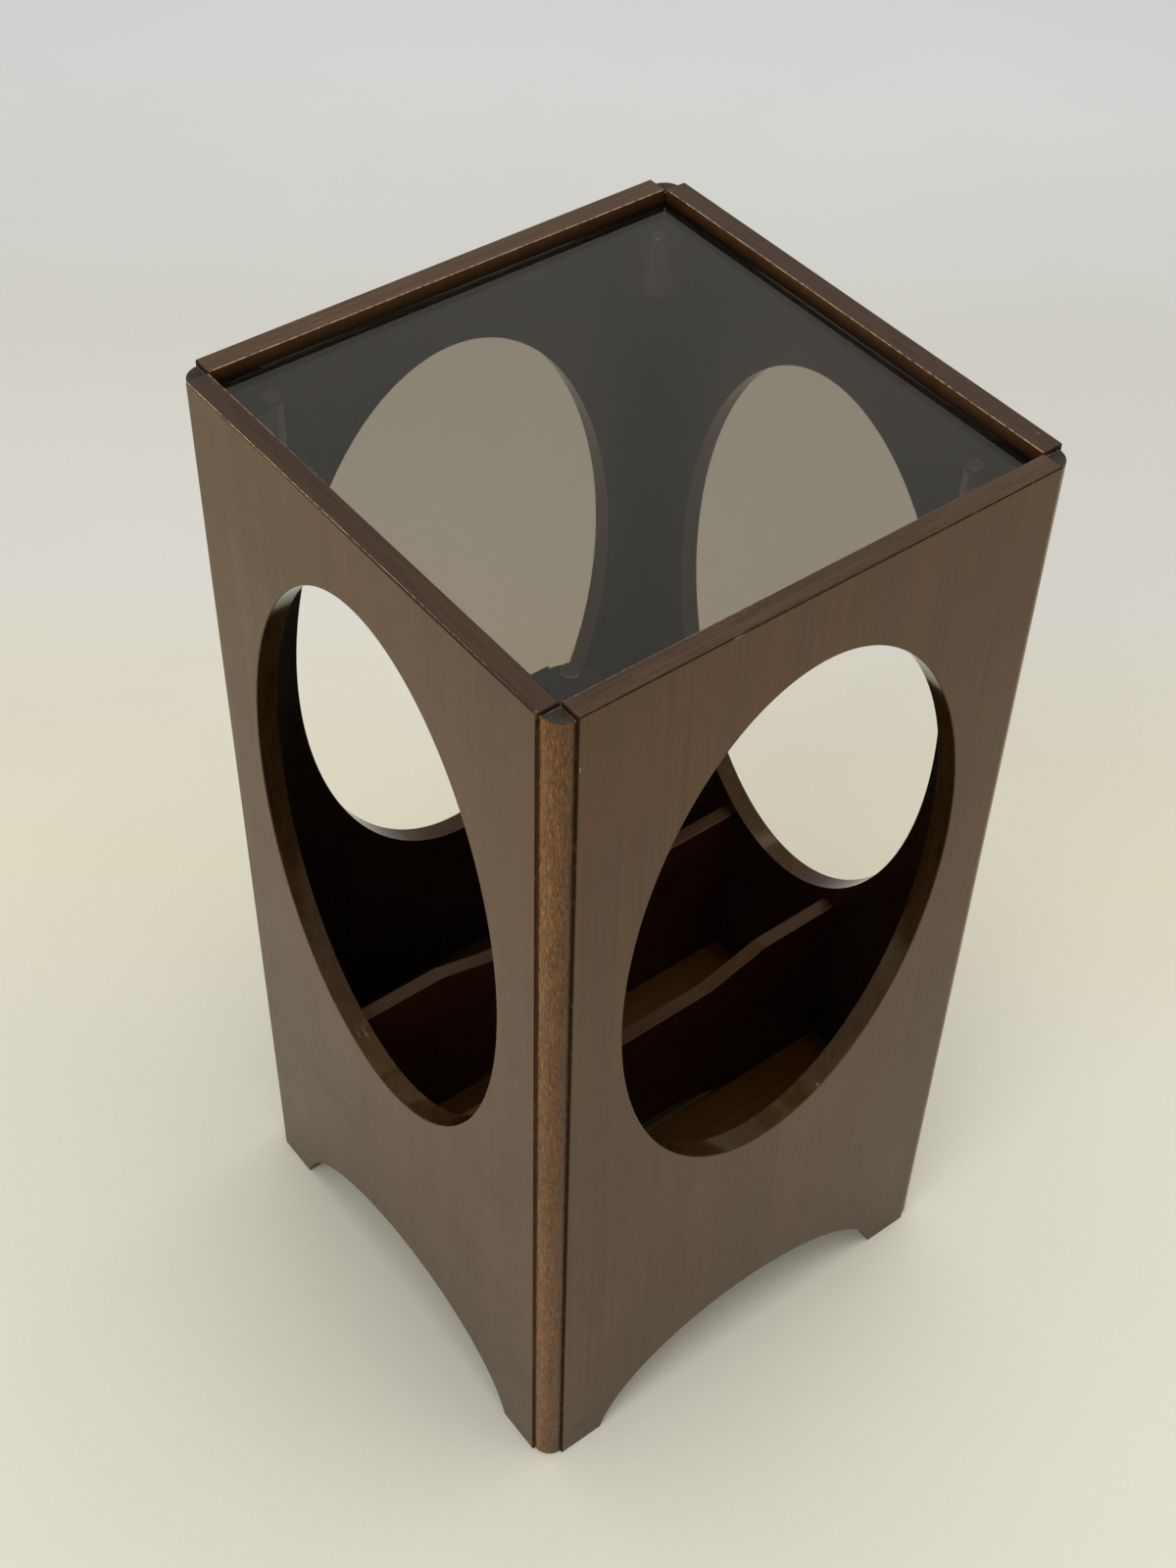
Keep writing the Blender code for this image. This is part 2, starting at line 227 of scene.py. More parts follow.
class Finish:
    """A procedural material, put together node by node."""

    def __init__(self, name, space="grain"):
        self.material = bpy.data.materials.new(name)
        self.material.use_nodes = True
        self.tree = self.material.node_tree
        self.shader = self.tree.nodes["Principled BSDF"]
        if space == "grain":
            self.place = self.attribute("grain").outputs["Vector"]
        else:
            self.place = self.node("TexCoord").outputs["Object"]

    def put(self, socket, value):
        if isinstance(value, bpy.types.NodeSocket):
            self.tree.links.new(value, socket)
        else:
            socket.default_value = value

    def node(self, kind, inputs=(), **settings):
        node = self.tree.nodes.new("ShaderNode" + kind)
        for name, value in settings.items():
            setattr(node, name, value)
        for name, value in dict(inputs).items():
            self.put(node.inputs[name], value)
        return node

    def attribute(self, name):
        return self.node("Attribute", attribute_name=name)

    def parts(self):
        """The piece's own coordinates, one by one."""
        place = self.node("TexCoord").outputs["Object"]
        return self.node("SeparateXYZ", {"Vector": place}).outputs

    def noise(self, cells, detail, roughness):
        """A cloudy pattern with so many cells per metre along each axis."""
        place = self.node("Mapping", {"Vector": self.place, "Scale": cells}).outputs["Vector"]
        inputs = {"Vector": place, "Scale": 1.0, "Detail": detail, "Roughness": roughness}
        return self.node("TexNoise", inputs).outputs["Fac"]

    def span(self, value, low, high, to_low=0.0, to_high=1.0):
        """A value carried from one range to another, held at the ends."""
        inputs = {
            "Value": value,
            "From Min": low,
            "From Max": high,
            "To Min": to_low,
            "To Max": to_high,
        }
        return self.node("MapRange", inputs).outputs["Result"]

    def calc(self, operation, a, b=0.0):
        return self.node("Math", {0: a, 1: b}, operation=operation).outputs["Value"]

    def sum(self, a, b):
        return self.calc("ADD", a, b)

    def product(self, a, b):
        return self.calc("MULTIPLY", a, b)

    def ramp(self, value, stops):
        node = self.node("ValToRGB", {"Fac": value})
        elements = node.color_ramp.elements
        while len(elements) < len(stops):
            elements.new(0.5)
        for element, (place, colour) in zip(elements, stops):
            element.position = place
            element.color = (*colour, 1)
        return node.outputs["Color"]

    def blend(self, factor, a, b, kind="MIX"):
        node = self.node("Mix", data_type="RGBA", blend_type=kind)
        self.put(node.inputs[0], factor)
        for index, value in ((6, a), (7, b)):
            self.put(node.inputs[index], (*value, 1) if isinstance(value, tuple) else value)
        return node.outputs[2]

    def shade(self, colour, factor):
        """A colour made lighter or darker by a number."""
        grey = self.node("CombineColor", {"Red": factor, "Green": factor, "Blue": factor})
        return self.blend(1.0, colour, grey.outputs["Color"], "MULTIPLY")

    def spot(self, centre, size, turn):
        """One in the middle of an ellipsoid, falling to zero at its surface."""
        inputs = {"Vector": self.place, "Location": centre, "Scale": size, "Rotation": (0, 0, turn)}
        local = self.node("Mapping", inputs, vector_type="TEXTURE").outputs["Vector"]
        reach = self.node("VectorMath", {0: local}, operation="LENGTH").outputs["Value"]
        return self.span(reach, 1.0, MARK_CORE)

    def relief(self, height, strength, distance):
        inputs = {"Height": height, "Strength": strength, "Distance": distance}
        self.put(self.shader.inputs["Normal"], self.node("Bump", inputs).outputs["Normal"])

    def set(self, **values):
        for name, value in values.items():
            self.put(self.shader.inputs[name.replace("_", " ")], value)


def wood(
    name,
    stops,
    across,
    along,
    gloss,
    ior=1.36,
    tint=LACQUER,
    pores=0.3,
    fleck=0.0,
    fibre=0.5,
    relief=0.1,
    space="grain",
    axes=(0, 1, 2),
    wear_and_light=None,
    patchy=True,
    marks=(),
    painted_light=False,
    foot=1.0,
    walls=None,
):
    """Stained wood whose grain runs along the second axis of its coordinates."""
    finish = Finish(name, space)

    def cells(a, b, c):
        ordered = [0, 0, 0]
        for axis, value in zip(axes, (a, b, c)):
            ordered[axis] = value
        return tuple(ordered)

    figure = finish.noise(cells(across, along, across), detail=4.0, roughness=0.6)
    fine = across * STRANDS_ACROSS
    strands = finish.noise(cells(fine, along * STRANDS_ALONG, fine), detail=3.0, roughness=0.6)
    tone = finish.sum(finish.product(figure, 1.0 - fibre), finish.product(strands, fibre))
    colour = finish.ramp(tone, stops)
    pore = finish.span(finish.noise(cells(*PORE_CELLS), detail=2.0, roughness=0.5), *PORE_BAND)
    colour = finish.shade(colour, finish.span(pore, 0.0, 1.0, 1.0, 1.0 - pores))
    cloud = finish.noise(CLOUD_CELLS, detail=2.0, roughness=0.5)
    colour = finish.shade(colour, finish.span(cloud, *CLOUD_BAND, *CLOUD_SHADES))
    if fleck:
        flecks = finish.noise(cells(*FLECK_CELLS), detail=2.0, roughness=0.6)
        colour = finish.shade(colour, finish.span(flecks, *FLECK_BAND, 1.0 - fleck, 1.0 + fleck))
    # Painted light: lighter or darker by the tone attribute, for how the light falls on each panel's
    # edges, the rim's low end and the posts' sides
    if painted_light:
        colour = finish.shade(colour, finish.attribute("tone").outputs["Fac"])
    # Painted shade: the panels darker towards the foot
    if foot != 1.0:
        height = finish.parts()["Y"]
        colour = finish.shade(colour, finish.span(height, 0.0, FOOT_SHADE_REACH, foot, 1.0))
    # Painted shade: the record floor darker along the walls
    if walls:
        parts = finish.parts()
        outwards = [finish.calc("ABSOLUTE", parts[axis]) for axis in ("X", "Y")]
        sideways = finish.calc("MAXIMUM", *outwards)
        stain = finish.span(sideways, walls - WALL_REACH, walls, 1.0, WALL_SHADE_DEPTH)
        colour = finish.shade(colour, stain)
    handling = finish.noise(HANDLING_CELLS, detail=3.0, roughness=0.55)
    polish = finish.span(handling, *HANDLING_BAND, *gloss)
    dullness = finish.sum(polish, finish.product(pore, PORE_DULLNESS))
    # The worn attribute marks wear and grime, and also painted highlights and painted shade
    if wear_and_light:
        rubbed_and_lit = finish.attribute("worn_and_lit").outputs["Fac"]
        if patchy:
            patches = finish.noise(PATCH_CELLS, detail=4.0, roughness=0.65)
            rubbed_and_lit = finish.product(rubbed_and_lit, finish.span(patches, *PATCH_BAND))
        for centre, size, turn, depth in marks:
            rubbed_and_lit = finish.sum(rubbed_and_lit, finish.product(finish.spot(centre, size, turn), depth))
        frayed = finish.span(finish.noise(FRAY_CELLS, detail=4.0, roughness=0.7), *FRAY_BAND)
        bared_and_highlit = finish.span(finish.product(rubbed_and_lit, frayed), 0.0, 1.0)
        grime_and_shade = finish.span(rubbed_and_lit, 0.0, -1.0)
        pale, dark = wear_and_light
        colour = finish.blend(bared_and_highlit, colour, pale)
        colour = finish.blend(grime_and_shade, colour, dark)
        dullness = finish.sum(dullness, finish.product(finish.sum(bared_and_highlit, grime_and_shade), MARK_DULLNESS))
    finish.set(Base_Color=colour, Roughness=dullness, IOR=ior, Specular_Tint=tint)
    grain = finish.sum(finish.product(strands, STRAND_RELIEF), finish.product(pore, PORE_RELIEF))
    finish.relief(grain, relief, GRAIN_DEPTH)
    return finish


def glass_finish():
    finish = Finish("bronze_smoked_glass", "object")
    smear = finish.noise((9, 13, 9), detail=4.0, roughness=0.6)
    finish.set(
        Base_Color=(0.375, 0.333, 0.262, 1),
        Transmission_Weight=1.0,
        IOR=1.5,
        Roughness=finish.span(smear, 0.45, 0.75, 0.0, 0.05),
    )
    return finish


def glass_edge_finish():
    finish = Finish("smoked_glass_edge", "object")
    streak = finish.noise((120, 120, 900), detail=4.0, roughness=0.6)
    colour = finish.ramp(streak, [(0.3, (0.008, 0.007, 0.005)), (0.7, (0.020, 0.018, 0.013))])
    finish.set(Base_Color=colour, IOR=1.5, Roughness=finish.span(streak, 0.3, 0.7, 0.10, 0.22))
    return finish


def bumper_finish():
    finish = Finish("clear_soft_plastic", "object")
    haze = finish.noise((420, 420, 420), detail=3.0, roughness=0.6)
    finish.set(
        Base_Color=finish.ramp(haze, [(0.3, (0.84, 0.83, 0.79)), (0.7, (0.93, 0.92, 0.88))]),
        Transmission_Weight=0.90,
        IOR=1.45,
        Roughness=finish.span(haze, 0.3, 0.7, 0.03, 0.10),
    )
    return finish


def steel_finish():
    finish = Finish("zinc_plated_steel", "object")
    stain = finish.noise((600, 600, 600), detail=4.0, roughness=0.6)
    colour = finish.ramp(stain, [(0.35, (0.34, 0.32, 0.27)), (0.65, (0.58, 0.57, 0.53))])
    finish.set(Base_Color=colour, Metallic=1.0, Roughness=finish.span(stain, 0.3, 0.7, 0.26, 0.46))
    finish.relief(stain, strength=0.08, distance=0.0002)
    return finish


def ground_finish():
    """Pale sheet with painted light and shade: a yellow pool of light behind the table, a darker band
    further back, and cooler far off.
    """
    finish = Finish("pale_ground", "object")
    away = Vector((-math.sin(CAMERA_AZIMUTH), math.cos(CAMERA_AZIMUTH), 0))
    along = finish.node("VectorMath", {0: finish.place, 1: away}, operation="DOT_PRODUCT")
    colour = finish.ramp(finish.span(along.outputs["Value"], *GROUND_SPAN), GROUND_PAINTED_LIGHT_STOPS)
    cloud = finish.noise((1.6, 1.6, 1.6), detail=4.0, roughness=0.55)
    colour = finish.shade(colour, finish.span(cloud, 0.3, 0.7, 0.98, 1.02))
    grit = finish.noise((260, 260, 260), detail=3.0, roughness=0.6)
    colour = finish.shade(colour, finish.span(grit, 0.3, 0.7, 0.985, 1.01))
    finish.set(Base_Color=colour, Roughness=0.6)
    return finish


def shades(middle, spread):
    """Dark, middle and light stops of one stain."""
    dark = tuple(value * (1 - spread) for value in middle)
    light = tuple(value * (1 + spread) for value in middle)
    return [(0.30, dark), (0.50, middle), (0.70, light)]


# Colours of bared wood and of painted highlights, and of grimy wood and of painted shade
PALE_WEAR_AND_HIGHLIGHT = (0.46, 0.34, 0.22)
DARK_GRIME_AND_SHADE = (0.018, 0.0065, 0.0022)
WEAR_AND_LIGHT_COLOURS = (PALE_WEAR_AND_HIGHLIGHT, DARK_GRIME_AND_SHADE)

# Where in the tree the wood of like pieces comes from: the first one's place, and the step to the next
PANEL_TREE = ((0, 0, 0), (1.7, 2.3, 0.9))
POST_TREE = ((0.4, 0, 0), (0.7, 1.3, 0.2))
BLOCK_TREE = ((3, 0, 0.3), (0.6, 0.5, 0))
DIVIDER_TREE = ((5, 0, 0.4), (0.8, 0.6, 0))


def tree_place(tree, index):
    start, step = tree
    return tuple(first + further * index for first, further in zip(start, step))


def on_panel(index, x, y, z):
    """A place on a panel, in the wood coordinates of its own board."""
    origin = tree_place(PANEL_TREE, index)
    return (x + origin[0], y + origin[1], z + origin[2])


# Marks of use, and one painted glint, as (place, half sizes, turn, depth): pale above zero, grimy below it
EDGE_MARKS = [
    (on_panel(0, -0.0630, 0.7135, 0.0070), (0.0042, 0.0010, 0.0012), 0.0, 0.8),
    (on_panel(1, -0.1452, 0.7140, 0.0028), (0.0030, 0.0030, 0.0008), 0.0, 0.35),
    (on_panel(3, 0.1593, 0.7136, 0.0062), (0.0014, 0.0014, 0.0014), 0.0, 0.4),
]
FACE_MARKS = [
    (on_panel(0, -0.0630, 0.7135, 0.0070), (0.0036, 0.0012, 0.0012), 0.0, 0.7),
    (on_panel(0, -0.1592, 0.6790, 0.0071), (0.0009, 0.0026, 0.0030), 0.0, 0.4),
    (on_panel(0, -0.1440, 0.0240, 0.0071), (0.0150, 0.0020, 0.0030), 0.4, -0.5),
    (on_panel(3, 0.0700, 0.7130, 0.0071), (0.1300, 0.0011, 0.0030), 0.0, -1.0),
    (on_panel(3, 0.1130, 0.1713, 0.0071), (0.0260, 0.0006, 0.0030), -0.557, -0.8),
    (on_panel(3, 0.1290, 0.1270, 0.0071), (0.0120, 0.0005, 0.0030), -0.60, -0.6),
]
# The first is a painted glint on the front rim; the other two are pale spots on the left rim
RIM_MARKS_AND_GLINT = [
    (on_panel(0, 0.0453, 0.2598, 0.0054), (0.0013, 0.0024, 0.0012), -0.5, 0.50),
    (on_panel(3, -0.0393, 0.2561, -0.0015), (0.0058, 0.0030, 0.0013), -0.5, 0.30),
    (on_panel(3, -0.0405, 0.2570, 0.0030), (0.0038, 0.0025, 0.0010), -0.5, 0.26),
]

veneer = wood(
    "stained_veneer",
    shades((0.091, 0.0405, 0.0115), 0.24),
    across=48, along=0.9, gloss=(0.22, 0.30), ior=1.33, pores=0.10, foot=0.66,
    wear_and_light=WEAR_AND_LIGHT_COLOURS, marks=FACE_MARKS,
)
# Near-black inside below the glass, also on the posts' seats: painted shade for the dim inside of the
# table
shaded_lining = wood(
    "veneer_inside_painted_shade",
    shades((0.008, 0.0034, 0.0016), 0.30),
    across=48, along=0.9, gloss=(0.24, 0.36), wear_and_light=WEAR_AND_LIGHT_COLOURS,
)
# The inner face above the glass, painted darker than the outer veneer as shade
shaded_wall = wood(
    "veneer_above_glass_painted_shade",
    shades((0.080, 0.0310, 0.0080), 0.35),
    across=48, along=6, gloss=(0.24, 0.36), ior=1.33, wear_and_light=WEAR_AND_LIGHT_COLOURS, patchy=False,
)
edging = wood(
    "stained_board_edge",
    shades((0.043, 0.0225, 0.0120), 0.50),
    across=110, along=6, gloss=(0.30, 0.42), pores=0.5, fleck=0.14, relief=0.15, axes=(1, 0, 2),
    wear_and_light=WEAR_AND_LIGHT_COLOURS, marks=EDGE_MARKS, painted_light=True,
)
side_edging = wood(
    "stained_board_side",
    shades((0.066, 0.030, 0.0102), 0.35),
    across=150, along=5, gloss=(0.40, 0.52), ior=1.25, tint=AMBER, pores=0.4, relief=0.15,
    wear_and_light=WEAR_AND_LIGHT_COLOURS, marks=EDGE_MARKS,
)
rim = wood(
    "polished_oval_rim",
    shades((0.037, 0.0175, 0.0062), 0.55),
    across=150, along=9, gloss=(0.09, 0.15), ior=1.34, tint=AMBER, relief=0.04,
    wear_and_light=WEAR_AND_LIGHT_COLOURS, marks=RIM_MARKS_AND_GLINT, painted_light=True,
)
post_wood = wood(
    "stained_post",
    [
        (0.34, (0.064, 0.0255, 0.0070)),
        (0.50, (0.142, 0.0600, 0.0145)),
        (0.66, (0.265, 0.1230, 0.0340)),
    ],
    across=240, along=30, gloss=(0.26, 0.38), ior=1.33, pores=0.5, fleck=0.34, fibre=0.8, relief=0.2,
    wear_and_light=WEAR_AND_LIGHT_COLOURS, painted_light=True,
)
post_end = wood(
    "post_end_grain",
    shades((0.026, 0.0240, 0.0180), 0.50),
    across=420, along=420, gloss=(0.40, 0.55), pores=0.5, relief=0.3, wear_and_light=WEAR_AND_LIGHT_COLOURS,
)
block_end = wood(
    "block_end_grain",
    shades((0.042, 0.0370, 0.0275), 0.50),
    across=420, along=420, gloss=(0.40, 0.55), pores=0.5, relief=0.3, wear_and_light=WEAR_AND_LIGHT_COLOURS,
)
block_wood = wood(
    "stained_block",
    shades((0.044, 0.0180, 0.0105), 0.45),
    across=120, along=10, gloss=(0.20, 0.30), ior=1.5, wear_and_light=WEAR_AND_LIGHT_COLOURS,
)
divider_wood = wood(
    "stained_divider",
    shades((0.026, 0.0080, 0.0032), 0.35),
    across=55, along=2.2, gloss=(0.22, 0.32), ior=1.33, pores=0.1, relief=0.03, wear_and_light=WEAR_AND_LIGHT_COLOURS,
)
divider_edge = wood(
    "stained_divider_edge",
    shades((0.047, 0.0205, 0.0085), 0.45),
    across=180, along=12, gloss=(0.26, 0.38), ior=1.35, tint=AMBER, wear_and_light=WEAR_AND_LIGHT_COLOURS,
)
floor_wood = wood(
    "stained_record_floor",
    shades((0.068, 0.0250, 0.0030), 0.35),
    across=46, along=1.8, gloss=(0.28, 0.42), ior=1.32, tint=AMBER, walls=inner_half,
    space="object", axes=(1, 0, 2),
)
softwood = shades((0.40, 0.255, 0.130), 0.30)
cleat_wood = wood(
    "bare_softwood",
    softwood,
    across=190, along=5, gloss=(0.60, 0.75), relief=0.3, space="object", axes=(1, 0, 2),
)
cleat_wood_across = wood(
    "bare_softwood_across",
    softwood,
    across=190, along=5, gloss=(0.60, 0.75), relief=0.3, space="object",
)
smoked_glass = glass_finish()
smoked_glass_edge = glass_edge_finish()
clear_plastic = bumper_finish()
steel = steel_finish()


def ellipse(centre, half_width, half_height, start, end, steps):
    """Points on an ellipse from one angle to another, both ends included."""
    angles = [start + (end - start) * step / steps for step in range(steps + 1)]
    return [(half_width * math.cos(angle), centre + half_height * math.sin(angle)) for angle in angles]


def rounded_corner(before, corner, after, radius):
    """Points of the arc that turns the corner between its two neighbours."""
    back = (before - corner).normalized()
    onward = (after - corner).normalized()
    half_angle = back.angle(onward) / 2
    sweep = math.pi - 2 * half_angle
    centre = corner + (back + onward).normalized() * radius / math.sin(half_angle)
    spoke = corner + back * radius / math.tan(half_angle) - centre
    steps = math.ceil(sweep / ARC_STEP)
    turn = math.copysign(sweep / steps, back.cross(onward) * -1)
    return [centre + Matrix.Rotation(turn * step, 2) @ spoke for step in range(steps + 1)]


def rounded_outline(corners):
    """Outline through corners given as (x, y, radius)."""
    outline = []
    for index, (x, y, radius) in enumerate(corners):
        before = Vector(corners[index - 1][:2])
        after = Vector(corners[(index + 1) % len(corners)][:2])
        corner = Vector((x, y))
        outline += rounded_corner(before, corner, after, radius) if radius else [corner]
    return outline


def cleaned(mesh):
    """The mesh welded, with its faces turned outwards."""
    welded = bmesh.new()
    welded.from_mesh(mesh)
    bmesh.ops.remove_doubles(welded, verts=welded.verts, dist=WELD_DISTANCE)
    bmesh.ops.recalc_face_normals(welded, faces=welded.faces)
    welded.to_mesh(mesh)
    welded.free()
    return mesh


def baked(obj):
    """The object's mesh with its curve or modifiers worked out; the object itself goes."""
    bpy.context.scene.collection.objects.link(obj)
    graph = bpy.context.evaluated_depsgraph_get()
    mesh = bpy.data.meshes.new_from_object(obj.evaluated_get(graph))
    bpy.data.objects.remove(obj, do_unlink=True)
    return cleaned(mesh)


def plate(name, outlines, thickness, arris):
    """Flat piece in its own XY plane, centred on its thickness, with rounded arrises."""
    curve = bpy.data.curves.new(name + "_outline", "CURVE")
    curve.dimensions = "2D"
    curve.fill_mode = "BOTH"
    curve.extrude = thickness / 2 - arris
    curve.bevel_depth = arris
    curve.bevel_resolution = ARRIS_STEPS
    curve.offset = -arris
    for outline in outlines:
        spline = curve.splines.new("POLY")
        spline.points.add(len(outline) - 1)
        for point, (x, y) in zip(spline.points, outline):
            point.co = (x, y, 0, 1)
        spline.use_cyclic_u = True
    return baked(bpy.data.objects.new(name, curve))


def turned(name, profile):
    """Round piece about Z from a half section of (radius, height), run from top to bottom."""
    section = bpy.data.meshes.new(name + "_section")
    points = [(radius, 0, height) for radius, height in profile]
    edges = [(index, index + 1) for index in range(len(points) - 1)]
    section.from_pydata(points, edges, [])
    obj = bpy.data.objects.new(name, section)
    screw = obj.modifiers.new("turning", "SCREW")
    screw.steps = TURNED_STEPS
    screw.render_steps = TURNED_STEPS
    return baked(obj)


def box(name, size, place):
    """A cutter for housings and recesses."""
    mesh = bpy.data.meshes.new(name)
    cube = bmesh.new()
    matrix = Matrix.Translation(place) @ Matrix.Diagonal((*size, 1))
    bmesh.ops.create_cube(cube, size=1, matrix=matrix)
    cube.to_mesh(mesh)
    cube.free()
    return mesh


def carved(name, mesh, cutters):
    """The mesh with the cutters' meshes taken out of it."""
    obj = bpy.data.objects.new(name, mesh)
    tools = []
    for cutter in cutters:
        tool = bpy.data.objects.new(cutter.name, cutter)
        bpy.context.scene.collection.objects.link(tool)
        tools.append(tool)
        boolean = obj.modifiers.new(cutter.name, "BOOLEAN")
        boolean.operation = "DIFFERENCE"
        boolean.solver = "EXACT"
        boolean.object = tool
    result = baked(obj)
    for tool in tools:
        bpy.data.objects.remove(tool, do_unlink=True)
    return result


def split(mesh, height):
    """The mesh with its faces divided at a height."""
    divided = bmesh.new()
    divided.from_mesh(mesh)
    geometry = divided.verts[:] + divided.edges[:] + divided.faces[:]
    bmesh.ops.bisect_plane(divided, geom=geometry, plane_co=(0, height, 0), plane_no=(0, 1, 0))
    divided.to_mesh(mesh)
    divided.free()
    return mesh


def write_grain(mesh, axes, offset):
    """Wood coordinates of each vertex as (across, along, through), at a place in the tree."""
    layer = mesh.attributes.new("grain", "FLOAT_VECTOR", "POINT")
    for vertex, item in zip(mesh.vertices, layer.data):
        item.vector = Vector([vertex.co[axis] for axis in axes]) + Vector(offset)


# Each vertex's wear and grime, and its painted highlights and painted shade
def write_wear_and_light(mesh, wear_and_light):
    layer = mesh.attributes.new("worn_and_lit", "FLOAT", "POINT")
    for vertex, item in zip(mesh.vertices, layer.data):
        item.value = wear_and_light(*vertex.co)


# Writes the painted light, a factor for how the light falls on each place
def write_painted_light(mesh, tone):
    layer = mesh.attributes.new("tone", "FLOAT", "POINT")
    for vertex, item in zip(mesh.vertices, layer.data):
        item.value = tone(*vertex.co)


def paint(mesh, finishes, choose):
    """Gives each face the finish that its middle and its normal call for."""
    for finish in finishes:
        mesh.materials.append(finish.material)
    for face in mesh.polygons:
        face.material_index = choose(face.center, face.normal)


def piece(name, mesh, body, node, matrix):
    mesh.shade_smooth()
    mesh.set_sharp_from_angle(angle=SMOOTH_ANGLE)
    obj = bpy.data.objects.new(name, mesh)
    bpy.context.scene.collection.objects.link(obj)
    obj.matrix_world = matrix
    weighted = obj.modifiers.new("weighted_normals", "WEIGHTED_NORMAL")
    weighted.keep_sharp = True
    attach(obj, body)
    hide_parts(node)


def quarter_turn(index):
    return Matrix.Rotation(index * QUARTER_TURN, 4, "Z")


UPRIGHT = Matrix.Rotation(QUARTER_TURN, 4, "X")


def arris_ring(z, thickness, arris):
    """Which ring of a rounded arris a point is on: 0 at the flat face, the last one at the edge."""
    depth = max(thickness / 2 - abs(z), 0.0)
    if depth >= arris:
        return ARRIS_RINGS
    return round(math.acos(1 - depth / arris) * ARRIS_RINGS / QUARTER_TURN)


def within_arris(ring):
    return 0 < ring < ARRIS_RINGS


def on_arris(z, thickness, arris):
    """True along the middle of a rounded arris."""
    return arris_ring(z, thickness, arris) == MIDDLE_RING


def panel_outlines():
    """Board with an arched foot, and the oval cut through it."""
    arch_half = panel_half - FOOT_WIDTH
    semi_height = ARCH_RISE + ARCH_CENTRE_DROP
    spring = math.asin(ARCH_CENTRE_DROP / semi_height)
    arch_width = arch_half / math.cos(spring)
    arch = ellipse(-ARCH_CENTRE_DROP, arch_width, semi_height, math.pi - spring, spring, ARCH_STEPS)
    top = TABLE_HEIGHT
    near = 2 * PANEL_CORNER_RADIUS
    corners = [
        (-panel_half, near, 0),
        (-panel_half, 0, 0),
        *((x, y, 0) for x, y in arch),
        (panel_half, 0, 0),
        (panel_half, near, 0),
        (panel_half, top - near, 0),
        (panel_half, top, PANEL_CORNER_RADIUS),
        (panel_half - near, top, 0),
        (near - panel_half, top, 0),
        (-panel_half, top, PANEL_CORNER_RADIUS),
        (-panel_half, top - near, 0),
    ]
    oval = ellipse(oval_centre, oval_half_width, oval_half_height, 0, 2 * math.pi, OVAL_STEPS)
    return rounded_outline(corners), oval[:-1]


def near_oval(x, y):
    across = x / oval_half_width
    along = (y - oval_centre) / oval_half_height
    return across**2 + along**2 < RIM_REACH


# A panel's finishes, in the order of its materials
PANEL_FINISHES = (veneer, shaded_lining, edging, rim, side_edging, shaded_wall)
FACE, INSIDE, EDGE, RIM, SIDE, WALL = range(len(PANEL_FINISHES))


def panel_face(centre, normal):
    if normal.z > FLAT:
        return FACE
    inner = WALL if centre.y > pane_level else INSIDE
    if normal.z < -FLAT:
        return inner
    if near_oval(centre.x, centre.y):
        return RIM
    at_end = abs(centre.x) > panel_half - PANEL_ARRIS
    if at_end and centre.z < PANEL_ARRIS - PANEL_THICKNESS / 2:
        return inner
    if at_end and centre.y < TABLE_HEIGHT - PANEL_CORNER_RADIUS:
        return SIDE
    on_top = centre.y > TABLE_HEIGHT - PANEL_ARRIS
    return SIDE if on_top and centre.z > PANEL_THICKNESS / 2 - PANEL_ARRIS else EDGE


# How far the stain is rubbed off each panel's top arrises, ring by ring from the face, at the panel's left
# and right ends: pale above zero, grimy below it. The pale inner arrises of the front and left panels are
# painted highlights
TOP_WEAR_AND_HIGHLIGHT = {
    "front": {
        "outer": ((-1.2, -1.6, -1.2), (-1.2, -1.6, -1.2)),
        "inner": ((0.0, 0.4, 1.0), (0.0, 0.1, 0.4)),
    },
    "right": {
        "outer": ((0.0, 0.1, 0.0), (0.0, 0.1, 0.0)),
        "inner": ((0.0, 1.8, 0.4), (0.0, 1.8, 0.4)),
    },
    "back": {
        "outer": ((0.0, 0.1, 0.0), (0.0, 0.1, 0.0)),
        "inner": ((0.0, 1.7, 0.4), (0.0, 1.7, 0.4)),
    },
    "left": {
        "outer": ((-0.8, 0.4, 3.0), (-1.8, -1.3, 0.0)),
        "inner": ((0.0, 1.2, 2.6), (0.0, -1.3, -2.4)),
    },
}

# The same for the other places on the panels, the posts, blocks and dividers; some of these are painted
# highlights and painted shade
# A painted highlight along the oval's outer arris, and painted shade on its inner arris
OVAL_PAINTED_HIGHLIGHT = 0.12
INNER_OVAL_PAINTED_SHADE = -0.8
FOOT_WEAR = 0.25
# Painted shade on the ends' top corners, and along the grooves beside the posts
END_PAINTED_SHADE = -1.2
SIDE_PAINTED_SHADE = -2.0
# Painted shade, deepening down the inner face towards the glass
WALL_PAINTED_SHADE = -1.25
# Painted highlights along the straight sides of a post's top
POST_TOP_PAINTED_HIGHLIGHT = 2.5
POST_ROUND_WEAR = -1.0
# Painted shade on the post beside its seats
POST_SEAT_PAINTED_SHADE = -0.7
BLOCK_WEAR = 0.15
DIVIDER_WEAR = 0.18

# The part of a top corner's arc, in radians, and of an end's arris that take the painted shade, and how
# far down the end it runs
END_ARC = (0.4, 1.2)
END_SHARE = 0.4
END_DROP = 3 * PANEL_CORNER_RADIUS

